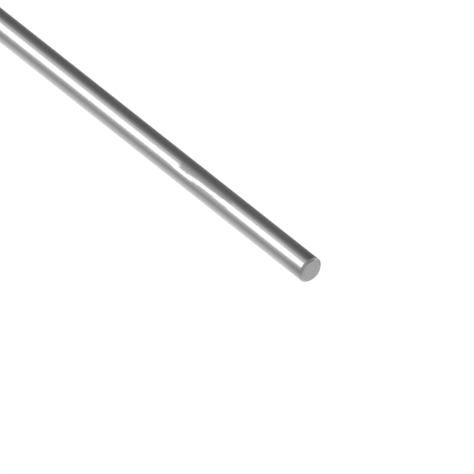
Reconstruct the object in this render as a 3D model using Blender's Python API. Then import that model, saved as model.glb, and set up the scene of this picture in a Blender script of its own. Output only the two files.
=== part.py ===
"""Bright stainless steel round bar, one piece, cut to length with both ends faced and chamfered.

Run with: blender --background --python part.py
Metres, +Z up. The bar lies along X on the ground, with its middle over the origin.
"""

import math

import bmesh
import bpy
from mathutils import Vector

BAR_DIAMETER = 0.012
BAR_LENGTH = 0.300
CHAMFER_DEPTH = 0.001  # how much of the radius the chamfer takes off the end face
CHAMFER_ANGLE = math.radians(45)  # from the end face
EDGE_ROUND = 0.00015  # radius left on the chamfer's two corners when the burr is taken off

FACETS_AROUND = 60  # a multiple of 4, so that a flat faces down and another faces up
ARC_STEPS = 2  # chords in each small corner round
SHARP_ANGLE = math.radians(15)  # edges that turn more than this are shaded as corners

STEEL_COLOUR = (0.62, 0.62, 0.62, 1.0)
STEEL_ROUGHNESS = 0.22


def clear_scene():
    for obj in list(bpy.data.objects):
        bpy.data.objects.remove(obj)


def stainless_steel():
    material = bpy.data.materials.new("stainless_steel")
    material.use_nodes = True
    shader = material.node_tree.nodes["Principled BSDF"]
    shader.inputs["Base Color"].default_value = STEEL_COLOUR
    shader.inputs["Metallic"].default_value = 1.0
    shader.inputs["Roughness"].default_value = STEEL_ROUGHNESS
    return material


def corner_round(centre, start, stop):
    """The arc of a corner round, from one outward direction to the other, as angles from +X."""
    angles = [start + (stop - start) * step / ARC_STEPS for step in range(ARC_STEPS + 1)]
    return [centre + EDGE_ROUND * Vector((math.cos(a), math.sin(a))) for a in angles]


def bar_profile():
    """The turned outline between the two end faces, as points (distance along the axis, radius)."""
    radius = BAR_DIAMETER / 2
    end = BAR_LENGTH / 2
    side = math.radians(90)  # the outward direction of the bar's side, as the end face's is 0
    chamfer_length = CHAMFER_DEPTH * math.tan(CHAMFER_ANGLE)
    rim_setback = EDGE_ROUND * math.tan(CHAMFER_ANGLE / 2)
    foot_setback = EDGE_ROUND * math.tan((side - CHAMFER_ANGLE) / 2)
    rim_centre = Vector((end - EDGE_ROUND, radius - CHAMFER_DEPTH - rim_setback))
    foot_centre = Vector((end - chamfer_length - foot_setback, radius - EDGE_ROUND))
    near_half = [
        *corner_round(rim_centre, 0, CHAMFER_ANGLE),
        *corner_round(foot_centre, CHAMFER_ANGLE, side),
    ]
    far_half = [Vector((-point.x, point.y)) for point in reversed(near_half)]
    return near_half + far_half


def turned_about_x(name, profile, material):
    """The profile turned into a solid with flat end faces. The flats of its facets, not their
    edges, lie on the profile's radius."""
    half_facet = math.pi / FACETS_AROUND
    bm = bmesh.new()
    outline = [bm.verts.new((p.x, p.y * math.tan(half_facet), p.y)) for p in profile]
    edges = [bm.edges.new(pair) for pair in zip(outline, outline[1:])]
    bmesh.ops.spin(
        bm,
        geom=outline + edges,
        cent=(0, 0, 0),
        axis=(1, 0, 0),
        angle=math.tau,
        steps=FACETS_AROUND,
        use_merge=True,
    )
    bmesh.ops.holes_fill(bm, edges=bm.edges)
    bmesh.ops.recalc_face_normals(bm, faces=bm.faces)
    mesh = bpy.data.meshes.new(name)
    bm.to_mesh(mesh)
    bm.free()
    mesh.shade_smooth()
    mesh.set_sharp_from_angle(angle=SHARP_ANGLE)
    mesh.materials.append(material)
    obj = bpy.data.objects.new(name, mesh)
    bpy.context.scene.collection.objects.link(obj)
    return obj


def build():
    clear_scene()
    bar = turned_about_x("round_bar", bar_profile(), stainless_steel())
    bar.location.z = BAR_DIAMETER / 2


build()
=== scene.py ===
# Looks of a bright stainless steel round bar that lies on a pale light table.

import math

import bmesh
import bpy
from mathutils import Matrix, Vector


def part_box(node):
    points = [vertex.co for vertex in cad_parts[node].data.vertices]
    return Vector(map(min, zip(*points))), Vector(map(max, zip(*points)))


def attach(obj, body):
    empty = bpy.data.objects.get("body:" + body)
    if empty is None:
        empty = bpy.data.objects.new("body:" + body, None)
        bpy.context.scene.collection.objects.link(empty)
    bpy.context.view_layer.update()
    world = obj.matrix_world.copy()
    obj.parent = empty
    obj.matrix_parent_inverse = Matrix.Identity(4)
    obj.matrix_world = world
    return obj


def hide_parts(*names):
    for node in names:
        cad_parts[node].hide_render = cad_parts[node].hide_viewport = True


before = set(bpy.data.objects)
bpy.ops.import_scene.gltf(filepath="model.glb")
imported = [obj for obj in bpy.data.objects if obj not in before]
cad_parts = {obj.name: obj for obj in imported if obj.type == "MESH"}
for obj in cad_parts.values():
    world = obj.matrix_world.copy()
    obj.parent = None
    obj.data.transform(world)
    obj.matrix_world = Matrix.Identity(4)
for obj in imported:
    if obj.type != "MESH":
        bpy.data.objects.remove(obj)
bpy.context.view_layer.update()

barLow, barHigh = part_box("round_bar")
barEnd = barHigh.x
barRadius = (barHigh.z - barLow.z) / 2
axisHeight = (barHigh.z + barLow.z) / 2
millimetres = 1000.0  # texture coordinates are made in millimetres
white = (1.0, 1.0, 1.0, 1.0)
black = (0.0, 0.0, 0.0, 1.0)


def addNode(tree, kind, **settings):
    made = tree.nodes.new(kind)
    for name, value in settings.items():
        setattr(made, name, value)
    return made


def feed(tree, socket, value):
    # a socket takes a link from another socket, or a plain value
    if isinstance(value, bpy.types.NodeSocket):
        tree.links.new(value, socket)
    else:
        socket.default_value = value


def maths(tree, operation, *values):
    made = addNode(tree, "ShaderNodeMath", operation=operation)
    for socket, value in zip(made.inputs, values):
        feed(tree, socket, value)
    return made.outputs[0]


def remap(tree, value, fromLow, fromHigh, toLow, toHigh, kind="SMOOTHSTEP"):
    made = addNode(tree, "ShaderNodeMapRange", interpolation_type=kind)
    for name, given in (
        ("Value", value), ("From Min", fromLow), ("From Max", fromHigh),
        ("To Min", toLow), ("To Max", toHigh),
    ):
        feed(tree, made.inputs[name], given)
    return made.outputs["Result"]


def noise(tree, vector, scale, detail=2.0, roughness=0.5):
    made = addNode(tree, "ShaderNodeTexNoise")
    feed(tree, made.inputs["Vector"], vector)
    feed(tree, made.inputs["Scale"], scale)
    feed(tree, made.inputs["Detail"], detail)
    feed(tree, made.inputs["Roughness"], roughness)
    return made.outputs["Fac"]


def newGroup(name, takes, gives):
    group = bpy.data.node_groups.new(name, "ShaderNodeTree")
    for socketName, kind, value in takes:
        socket = group.interface.new_socket(socketName, in_out="INPUT", socket_type=kind)
        if value is not None:
            socket.default_value = value
    for socketName, kind in gives:
        group.interface.new_socket(socketName, in_out="OUTPUT", socket_type=kind)
    return group, addNode(group, "NodeGroupInput").outputs, addNode(group, "NodeGroupOutput").inputs


def useGroup(tree, group, **values):
    # values are given by the sockets' names, with _ for a space
    made = addNode(tree, "ShaderNodeGroup", node_tree=group)
    for name, value in values.items():
        feed(tree, made.inputs[name.replace("_", " ")], value)
    return made.outputs


# Fine parallel lines left by the die or by the turning tool. The vector comes squeezed along the lines.
grainMix = {
    "fineShare": 0.75,  # of the height, and the broad lines make up the rest
    "fineDetail": (3.0, 0.65),  # noise detail and roughness
    "broadDetail": (2.0, 0.5),
}


def makeLineGrain():
    group, takes, gives = newGroup(
        "lineGrain",
        [
            ("Vector", "NodeSocketVector", None),
            ("Fine Lines", "NodeSocketFloat", 6.0),
            ("Broad Lines", "NodeSocketFloat", 1.0),
        ],
        [("Height", "NodeSocketFloat"), ("Tone", "NodeSocketFloat")],
    )
    fine = noise(group, takes["Vector"], takes["Fine Lines"], *grainMix["fineDetail"])
    broad = noise(group, takes["Vector"], takes["Broad Lines"], *grainMix["broadDetail"])
    fineHeight = maths(group, "MULTIPLY", fine, grainMix["fineShare"])
    broadHeight = maths(group, "MULTIPLY", broad, 1 - grainMix["fineShare"])
    group.links.new(maths(group, "ADD", fineHeight, broadHeight), gives["Height"])
    group.links.new(maths(group, "SUBTRACT", broad, 0.5), gives["Tone"])
    return group


# Hairline scratches in a few patches, and the dull clouds that fingers and cloths leave. A scratch follows
# the line where one noise passes through its middle value.
handlingMarks = {
    "hairline": 0.006,  # half the width of a scratch, in noise values
    "patches": (0.52, 0.66),  # the noise values between which the scratches come in
    "clouds": (0.4, 0.7),
}


def makeHandling():
    group, takes, gives = newGroup(
        "handling",
        [
            ("Vector", "NodeSocketVector", None),
            ("Scratch Size", "NodeSocketFloat", 0.5),
            ("Cloud Size", "NodeSocketFloat", 0.1),
        ],
        [("Scratches", "NodeSocketFloat"), ("Clouds", "NodeSocketFloat")],
    )
    waves = noise(group, takes["Vector"], takes["Scratch Size"], detail=1.0)
    fromMiddle = maths(group, "ABSOLUTE", maths(group, "SUBTRACT", waves, 0.5))
    hairline = remap(group, fromMiddle, 0.0, handlingMarks["hairline"], 1.0, 0.0)
    spread = noise(group, takes["Vector"], takes["Cloud Size"])
    patches = remap(group, spread, *handlingMarks["patches"], 0.0, 1.0)
    group.links.new(maths(group, "MULTIPLY", hairline, patches), gives["Scratches"])
    clouds = noise(group, takes["Vector"], takes["Cloud Size"], detail=4.0, roughness=0.6)
    group.links.new(remap(group, clouds, *handlingMarks["clouds"], 0.0, 1.0), gives["Clouds"])
    return group


# Turns the marks into the steel's colour and gloss.
def makeSteelFinish():
    group, takes, gives = newGroup(
        "steelFinish",
        [
            ("Colour", "NodeSocketColor", (0.6, 0.6, 0.6, 1.0)),
            ("Roughness", "NodeSocketFloat", 0.25),
            ("Tone", "NodeSocketFloat", 0.0),
            ("Tone Spread", "NodeSocketFloat", 0.1),
            ("Roughness Spread", "NodeSocketFloat", 0.1),
            ("Scratches", "NodeSocketFloat", 0.0),
            ("Scratch Shade", "NodeSocketFloat", 0.06),
            ("Scratch Dulling", "NodeSocketFloat", 0.08),
            ("Clouds", "NodeSocketFloat", 0.0),
            ("Cloud Dulling", "NodeSocketFloat", 0.03),
            ("Shade", "NodeSocketFloat", 0.0),
        ],
        [("Base Color", "NodeSocketColor"), ("Roughness", "NodeSocketFloat")],
    )
    brightness = maths(group, "ADD", maths(group, "MULTIPLY", takes["Tone"], takes["Tone Spread"]), 1.0)
    scratched = maths(group, "MULTIPLY", takes["Scratches"], takes["Scratch Shade"])
    brightness = maths(group, "SUBTRACT", brightness, scratched)
    # Shade adds painted shade to the colour: the side's darker ends and the darker line round the ends'
    # corner
    brightness = maths(group, "ADD", brightness, takes["Shade"])
    scaled = addNode(group, "ShaderNodeVectorMath", operation="SCALE")
    feed(group, scaled.inputs[0], takes["Colour"])
    feed(group, scaled.inputs["Scale"], brightness)
    group.links.new(scaled.outputs[0], gives["Base Color"])
    shift = maths(group, "MULTIPLY", takes["Tone"], takes["Roughness Spread"])
    dulling = maths(group, "MULTIPLY", takes["Clouds"], takes["Cloud Dulling"])
    worn = maths(group, "MULTIPLY", takes["Scratches"], takes["Scratch Dulling"])
    shifted = maths(group, "ADD", takes["Roughness"], shift)
    group.links.new(maths(group, "ADD", shifted, maths(group, "ADD", dulling, worn)), gives["Roughness"])
    return group


lineGrain = makeLineGrain()
handling = makeHandling()
steelFinish = makeSteelFinish()
print("effects: line grain, handling marks, steel finish")


def newMaterial(name):
    material = bpy.data.materials.new(name)
    material.use_nodes = True
    tree = material.node_tree
    shader = tree.nodes["Principled BSDF"]
    place = addNode(tree, "ShaderNodeTexCoord").outputs["Object"]
    inMillimetres = addNode(tree, "ShaderNodeVectorMath", operation="SCALE")
    feed(tree, inMillimetres.inputs[0], place)
    inMillimetres.inputs["Scale"].default_value = millimetres
    return material, tree, shader, inMillimetres.outputs[0]


def stretched(tree, vector, along):
    # shortens the vector along the bar's axis, so that a pattern is drawn out that way
    made = addNode(tree, "ShaderNodeVectorMath", operation="MULTIPLY")
    feed(tree, made.inputs[0], vector)
    made.inputs[1].default_value = (along, 1.0, 1.0)
    return made.outputs[0]


def bump(tree, shader, height, strength, depth):
    made = addNode(tree, "ShaderNodeBump")
    made.inputs["Strength"].default_value = strength
    made.inputs["Distance"].default_value = depth
    feed(tree, made.inputs["Height"], height)
    tree.links.new(made.outputs["Normal"], shader.inputs["Normal"])


def finishSteel(tree, shader, given, grain, marks, paintedShade):
    finish = useGroup(
        tree, steelFinish, Colour=given["colour"], Roughness=given["roughness"], Tone=grain["Tone"],
        Tone_Spread=given["toneSpread"], Roughness_Spread=given["roughnessSpread"],
        Scratches=marks["Scratches"], Clouds=marks["Clouds"], Cloud_Dulling=given["cloudDulling"],
        Shade=paintedShade,
    )
    tree.links.new(finish["Base Color"], shader.inputs["Base Color"])
    tree.links.new(finish["Roughness"], shader.inputs["Roughness"])
    shader.inputs["Metallic"].default_value = 1.0
    bump(tree, shader, grain["Height"], given["bumpStrength"], given["bumpDepth"])


# The drawn and polished round of the bar.
drawnSide = {
    "colour": (0.62, 0.62, 0.62, 1.0),
    "roughness": 0.26,
    "lineStretch": 0.012,  # lines are about eighty times as long as they are wide
    "fineLines": 7.0,
    "broadLines": 1.1,
    "markStretch": 0.15,
    "scratchSize": 0.6,
    "cloudSize": 0.12,
    "toneSpread": 0.10,
    "roughnessSpread": 0.10,
    "cloudDulling": 0.02,
    "paintedEndShade": 0.17,  # painted shade: how much darker the side's colour is at its ends, for the dimmer reflection there
    "paintedEndShadeLength": 16.0,  # in millimetres
    "bumpStrength": 0.35,
    "bumpDepth": 0.000002,
}


def makeDrawnSide():
    given = drawnSide
    material, tree, shader, place = newMaterial("drawnSide")
    grain = useGroup(
        tree, lineGrain, Vector=stretched(tree, place, given["lineStretch"]),
        Fine_Lines=given["fineLines"], Broad_Lines=given["broadLines"],
    )
    marks = useGroup(
        tree, handling, Vector=stretched(tree, place, given["markStretch"]),
        Scratch_Size=given["scratchSize"], Cloud_Size=given["cloudSize"],
    )
    along = addNode(tree, "ShaderNodeSeparateXYZ")
    feed(tree, along.inputs[0], place)
    fromMiddle = maths(tree, "ABSOLUTE", along.outputs["X"])
    # painted shade: the side's colour darkens over the last stretch towards each end, for the dimmer
    # reflection there
    paintedShadeFoot = barEnd * millimetres - given["paintedEndShadeLength"]
    paintedShade = remap(tree, fromMiddle, paintedShadeFoot, barEnd * millimetres, 0.0, -given["paintedEndShade"])
    finishSteel(tree, shader, given, grain, marks, paintedShade)
    return material


# The faced and chamfered ends, which show rings where the tool went round.
turnedEnd = {
    "colour": (0.60, 0.60, 0.60, 1.0),
    "roughness": 0.42,
    "fineRings": 9.0,
    "broadRings": 1.3,
    "ringWander": 0.08,  # how much a ring changes on its way round
    "scratchSize": 0.35,
    "cloudSize": 0.25,
    "toneSpread": 0.40,
    "roughnessSpread": 0.12,
    "cloudDulling": 0.04,
    "paintedRimShade": 0.09,  # painted shade: a thin darker line runs round the corner between face and chamfer, for the corner's darker reflection
    "rimWidth": 0.40,  # in millimetres, to each side of the corner
    "bumpStrength": 0.4,
    "bumpDepth": 0.000004,
}


def makeTurnedEnd():
    given = turnedEnd
    material, tree, shader, place = newMaterial("turnedEnd")
    split = addNode(tree, "ShaderNodeSeparateXYZ")
    feed(tree, split.inputs[0], place)
    across = maths(tree, "SQRT", maths(
        tree, "ADD",
        maths(tree, "POWER", maths(tree, "ABSOLUTE", split.outputs["Y"]), 2.0),
        maths(tree, "POWER", maths(tree, "ABSOLUTE", split.outputs["Z"]), 2.0),
    ))
    rings = addNode(tree, "ShaderNodeCombineXYZ")
    feed(tree, rings.inputs["X"], across)
    feed(tree, rings.inputs["Y"], maths(tree, "MULTIPLY", split.outputs["Y"], given["ringWander"]))
    feed(tree, rings.inputs["Z"], maths(tree, "MULTIPLY", split.outputs["Z"], given["ringWander"]))
    grain = useGroup(
        tree, lineGrain, Vector=rings.outputs[0],
        Fine_Lines=given["fineRings"], Broad_Lines=given["broadRings"],
    )
    marks = useGroup(
        tree, handling, Vector=place, Scratch_Size=given["scratchSize"], Cloud_Size=given["cloudSize"],
    )
    # painted shade along the corner between face and chamfer
    rimRadius = (barRadius - roundBar["chamfer"]) * millimetres
    fromRim = maths(tree, "ABSOLUTE", maths(tree, "SUBTRACT", across, rimRadius))
    paintedShade = remap(tree, fromRim, 0.0, given["rimWidth"], -given["paintedRimShade"], 0.0)
    finishSteel(tree, shader, given, grain, marks, paintedShade)
    return material


roundBar = {
    "segments": 256,
    "chamfer": 0.001,
    "cornerRound": 0.00015,
    "roundSteps": 6,
    "feed": 0.0002,  # how far the facing tool moves in with each turn
    "feedDepth": 0.000002,
    "pipRadius": 0.0003,  # the small dimple that is left where the tool meets the centre
    "pipDepth": 0.00012,
    "edgeSupport": 0.0001,  # keeps the shading of the long side away from its rounded corner
    "mergeDistance": 1e-7,  # joins the points that the turning leaves doubled on the axis
}


def cornerRound(centreX, centreRadius, start, stop):
    # the arc from one outward direction to the other, in degrees from the axis
    size, steps = roundBar["cornerRound"], roundBar["roundSteps"]
    angles = [math.radians(start + (stop - start) * step / steps) for step in range(steps + 1)]
    return [(centreX + size * math.cos(a), centreRadius + size * math.sin(a)) for a in angles]


def endProfile():
    # from the middle of an end face out to the bar's side, as (distance along the axis, radius)
    given = roundBar
    setback = given["cornerRound"] * math.tan(math.radians(22.5))
    rim = barRadius - given["chamfer"] - setback
    foot = barEnd - given["chamfer"] - setback
    points = [(barEnd - given["pipDepth"], 0.0), (barEnd - given["pipDepth"] / 2, given["pipRadius"] / 2)]
    ringCount = int((rim - given["pipRadius"]) / (given["feed"] / 2))
    for ring in range(ringCount):
        sunk = given["feedDepth"] if ring % 2 else 0.0
        points.append((barEnd - sunk, given["pipRadius"] + ring * given["feed"] / 2))
    points += cornerRound(barEnd - given["cornerRound"], rim, 0, 45)
    points += cornerRound(foot, barRadius - given["cornerRound"], 45, 90)
    points.append((foot - given["edgeSupport"], barRadius))
    return points


def makeRoundBar():
    nearEnd = endProfile()
    farEnd = [(-x, radius) for x, radius in reversed(nearEnd)]
    bm = bmesh.new()
    outline = [bm.verts.new((x, 0.0, radius)) for x, radius in nearEnd + farEnd]
    edges = [bm.edges.new(pair) for pair in zip(outline, outline[1:])]
    bmesh.ops.spin(
        bm, geom=outline + edges, cent=(0, 0, 0), axis=(1, 0, 0), angle=math.tau,
        steps=roundBar["segments"], use_merge=True,
    )
    bmesh.ops.remove_doubles(bm, verts=bm.verts, dist=roundBar["mergeDistance"])
    bmesh.ops.recalc_face_normals(bm, faces=bm.faces)
    chamferFoot = barEnd - roundBar["chamfer"]
    for face in bm.faces:
        face.smooth = True
        face.material_index = int(abs(face.calc_center_median().x) > chamferFoot)
    mesh = bpy.data.meshes.new("turnedRoundBar")
    bm.to_mesh(mesh)
    bm.free()
    mesh.materials.append(makeDrawnSide())
    mesh.materials.append(makeTurnedEnd())
    piece = bpy.data.objects.new("turnedRoundBar", mesh)
    piece.location.z = axisHeight
    bpy.context.scene.collection.objects.link(piece)
    bpy.context.view_layer.update()
    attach(piece, "root")
    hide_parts("round_bar")
    print("bar:", len(mesh.polygons), "faces,", roundBar["segments"], "round")
    return piece


makeRoundBar()


def makeSheet(name, low, high, height):
    # a flat sheet from one corner to the other, facing up, with a material that glows white
    corners = [(low[0], low[1]), (high[0], low[1]), (high[0], high[1]), (low[0], high[1])]
    bm = bmesh.new()
    bm.faces.new([bm.verts.new((x, y, height)) for x, y in corners])
    mesh = bpy.data.meshes.new(name)
    bm.to_mesh(mesh)
    bm.free()
    material = bpy.data.materials.new(name)
    material.use_nodes = True
    shader = material.node_tree.nodes["Principled BSDF"]
    shader.inputs["Emission Color"].default_value = white
    mesh.materials.append(material)
    sheet = bpy.data.objects.new(name, mesh)
    bpy.context.scene.collection.objects.link(sheet)
    return sheet, shader


lightTable = {
    "side": 6.0,
    "colour": (0.12, 0.12, 0.12, 1.0),
    "roughness": 0.8,
    "glow": 0.95,  # most of its light comes from below, so that shadows on it stay faint
}


def makeLightTable():
    half = lightTable["side"] / 2
    table, shader = makeSheet("lightTable", (-half, -half), (half, half), 0.0)
    shader.inputs["Base Color"].default_value = lightTable["colour"]
    shader.inputs["Roughness"].default_value = lightTable["roughness"]
    shader.inputs["Emission Strength"].default_value = lightTable["glow"]
    table.visible_glossy = False  # the steel mirrors the studio's surround instead
    print("light table:", lightTable["side"], "m square")


makeLightTable()


# A card that glows dim grey behind the bar, hidden from the camera, for the steel to mirror: a glowing sheet
# that gives a painted reflection of a dim table behind the bar.
backCard = {
    "level": 0.27,
    "nearEdge": 0.004,  # from the bar's axis
    "width": 0.6,
    "length": 1.2,
    "height": 0.0002,  # over the table
}


def makeBackCard():
    given = backCard
    low = (barEnd - given["length"], given["nearEdge"])
    high = (barEnd, given["nearEdge"] + given["width"])
    card, shader = makeSheet("backCard", low, high, given["height"])
    shader.inputs["Base Color"].default_value = black
    shader.inputs["Specular IOR Level"].default_value = 0.0
    shader.inputs["Emission Strength"].default_value = given["level"]
    card.visible_camera = False
    card.visible_diffuse = False
    card.visible_shadow = False
    print("back card:", given["length"], "by", given["width"], "m")


makeBackCard()


# How bright the room is round the bar, by the angle up from the front horizon in degrees. There is one set
# of levels for directions towards the bar's far end, one for those square to it, and one for those past the
# end that the camera sees.
studioSurround = {
    "towardsFarEnd": (
        (-120, 0.9), (-75, 0.9),  # light from the table below
        (-15, 0.35),  # the dim side of the room, behind the camera
        (15, 0.7), (60, 0.7),  # the lit front
        (90, 0.4),  # overhead
        (120, 0.15), (170, 0.15),  # the dark back of the room
    ),
    "squareOn": (
        (-120, 0.9), (-75, 0.9),
        (-15, 0.35),
        (15, 0.7), (60, 0.9),
        (90, 0.5),
        (120, 0.15), (150, 0.2),
        (165, 0.8),  # a pale wall low down at the back
    ),
    "pastEnd": (
        (-165, 0.5), (-120, 0.65), (-60, 0.7),
        (-20, 0.3), (0, 0.3),
        (50, 0.55),
        (110, 0.3), (155, 0.2),
        (165, 1.2),
    ),
    "turnsSquareOn": (-0.35, -0.1),  # how far along X a direction points where one set gives way to the next
    "turnsPastEnd": (0.1, 0.45),
    "background": 1.0,
}


def levelsRound(tree, angle, levels):
    # the last level joins up with the first, half a turn behind the bar
    ramp = addNode(tree, "ShaderNodeValToRGB")
    feed(tree, ramp.inputs["Fac"], remap(tree, angle, -math.pi, math.pi, 0.0, 1.0, "LINEAR"))
    stops = ramp.color_ramp.elements
    while len(stops) > 1:
        stops.remove(stops[-1])
    behind = levels[-1][1]
    for count, (degrees, level) in enumerate(((-180, behind), *levels, (180, behind))):
        place = (degrees + 180) / 360
        stop = stops[0] if count == 0 else stops.new(place)
        stop.position = place
        stop.color = (level, level, level, 1.0)
    return ramp.outputs["Color"]


def blend(tree, share, first, second):
    made = addNode(tree, "ShaderNodeMix", data_type="FLOAT")
    feed(tree, made.inputs["Factor"], share)
    feed(tree, made.inputs[2], first)
    feed(tree, made.inputs[3], second)
    return made.outputs[0]


def makeSurround():
    given = studioSurround
    world = bpy.data.worlds.new("studioSurround")
    bpy.context.scene.world = world
    world.use_nodes = True
    tree = world.node_tree
    background = tree.nodes["Background"]
    split = addNode(tree, "ShaderNodeSeparateXYZ")
    feed(tree, split.inputs[0], addNode(tree, "ShaderNodeTexCoord").outputs["Generated"])
    angle = maths(tree, "ARCTAN2", split.outputs["Z"], maths(tree, "MULTIPLY", split.outputs["Y"], -1.0))
    room = levelsRound(tree, angle, given["towardsFarEnd"])
    for name, turns in (("squareOn", "turnsSquareOn"), ("pastEnd", "turnsPastEnd")):
        share = remap(tree, split.outputs["X"], *given[turns], 0.0, 1.0)
        room = blend(tree, share, room, levelsRound(tree, angle, given[name]))
    toCamera = addNode(tree, "ShaderNodeLightPath").outputs["Is Camera Ray"]
    feed(tree, background.inputs["Strength"], blend(tree, toCamera, room, given["background"]))
    background.inputs["Color"].default_value = white
    print("surround: 3 sets of levels")


makeSurround()


# The camera stands where the photograph was taken from. Pixels are of its 474 by 474 frame.
photoCamera = {
    "azimuth": 51.29,  # round from the front of the bar towards the end that it shows
    "elevation": 39.40,
    "lens": 1700.0,
    "pictureSide": 474,
    "barWidth": 27.88,  # at the end face
    "endFace": (311.36, 270.92),
}


def towardsCamera():
    around, up = math.radians(photoCamera["azimuth"]), math.radians(photoCamera["elevation"])
    return Vector((math.sin(around) * math.cos(up), -math.cos(around) * math.cos(up), math.sin(up)))


def makeCamera():
    given = photoCamera
    data = bpy.data.cameras.new("photoCamera")
    camera = bpy.data.objects.new("photoCamera", data)
    back = towardsCamera()
    turned = (-back).to_track_quat("-Z", "Y")
    rightward = turned @ Vector((1.0, 0.0, 0.0))
    upward = turned @ Vector((0.0, 1.0, 0.0))
    pixel = 2 * barRadius / given["barWidth"]
    half = given["pictureSide"] / 2
    faceX, faceY = given["endFace"]
    aside = rightward * (faceX - half) * pixel - upward * (faceY - half) * pixel
    target = Vector((barEnd, 0.0, axisHeight)) - aside
    data.lens = given["lens"]
    distance = data.lens / data.sensor_width * given["pictureSide"] * pixel
    data.clip_end = 2 * distance
    camera.location = target + back * distance
    camera.rotation_mode = "QUATERNION"
    camera.rotation_quaternion = turned
    bpy.context.scene.collection.objects.link(camera)
    bpy.context.scene.camera = camera
    print("camera:", round(distance, 2), "m away")


makeCamera()


# Strip lights close over the bar, which it mirrors as the white highlight. Each is given by where the
# photograph's view sees it mirrored: its start and stop along the bar, and its low and high edge in degrees
# up from the front horizon. Between 0.06 and 0.10 along the bar the highlight dips to the front and narrows.
highlightFrom, highlightTo = -0.20, 0.152  # from past the picture's edge to just past the bar's end
stripLights = {
    "gap": 0.006,  # from the bar's side
    "reach": (0.0064, 0.0077),  # they fade out between these distances and leave the bar's back unlit
    "brightness": 1.3,
    "dimmed": {"coreEnd": 0.3, "flankLeft": 0.28, "flankRight": 0.28},
    "strips": {
        "core": (highlightFrom, highlightTo, 34, 44),
        "coreEnd": (0.138, 0.151, 27, 46),
        "upperLeft": (highlightFrom, 0.0633, 44, 65),
        "upperRight": (0.0705, highlightTo, 44, 52),
        "upperStep": (0.0750, highlightTo, 52, 58),
        "topStep": (0.0860, highlightTo, 58, 61),
        "topRight": (0.0930, highlightTo, 61, 65),
        "lowerLeft": (highlightFrom, 0.0735, 21, 34),
        "lowerPatch": (0.0604, 0.0735, 15, 21),
        "lowerStep": (0.0735, 0.0780, 25, 34),
        "lowerMiddle": (0.0775, highlightTo, 30.3, 34),
        "lowerRight": (0.0880, highlightTo, 27, 30.3),
        "lowestRight": (0.0980, highlightTo, 21, 27),
        "flankLeft": (highlightFrom, 0.0630, 65, 92),
        "flankRight": (0.0980, highlightTo, 65, 92),
    },
}


def mirroredRay(x, height):
    # where the bar mirrors this height round it to the camera, and the way that the ray goes on from there
    toCamera = towardsCamera()
    facing = (height + math.atan2(toCamera.z, -toCamera.y)) / 2
    onBar = Vector((x, -barRadius * math.cos(facing), axisHeight + barRadius * math.sin(facing)))
    across = math.hypot(toCamera.y, toCamera.z)
    return onBar, Vector((-toCamera.x, -across * math.cos(height), across * math.sin(height)))


def makeStripLight(name, start, stop, low, high):
    middle = math.radians((low + high) / 2)
    onBar, ray = mirroredRay((start + stop) / 2, middle)
    centre = onBar + ray * stripLights["gap"]
    outward = Vector((0.0, -math.cos(middle), math.sin(middle)))
    over = Vector((0.0, math.sin(middle), math.cos(middle)))
    edges = []
    for edge in (low, high):
        foot, ray = mirroredRay(centre.x, math.radians(edge))
        reach = (centre - foot).dot(outward) / ray.dot(outward)
        edges.append((foot + ray * reach - centre).dot(over))
    light = bpy.data.lights.new(name, "AREA")
    light.shape = "RECTANGLE"
    light.size = stop - start
    light.size_y = edges[1] - edges[0]
    brightness = stripLights["dimmed"].get(name, stripLights["brightness"])
    light.energy = brightness * math.pi * light.size * light.size_y
    light.use_nodes = True
    tree = light.node_tree
    distance = addNode(tree, "ShaderNodeLightPath").outputs["Ray Length"]
    fading = remap(tree, distance, *stripLights["reach"], 1.0, 0.0)
    feed(tree, tree.nodes["Emission"].inputs["Strength"], fading)
    strip = bpy.data.objects.new(name, light)
    strip.location = centre + over * (edges[0] + edges[1]) / 2
    strip.rotation_euler = (math.pi / 2 - middle, 0.0, 0.0)
    strip.visible_camera = False
    bpy.context.scene.collection.objects.link(strip)


for stripName, stripPlace in stripLights["strips"].items():
    makeStripLight(stripName, *stripPlace)
print("strip lights:", len(stripLights["strips"]))

bpy.context.scene.view_settings.view_transform = "Standard"
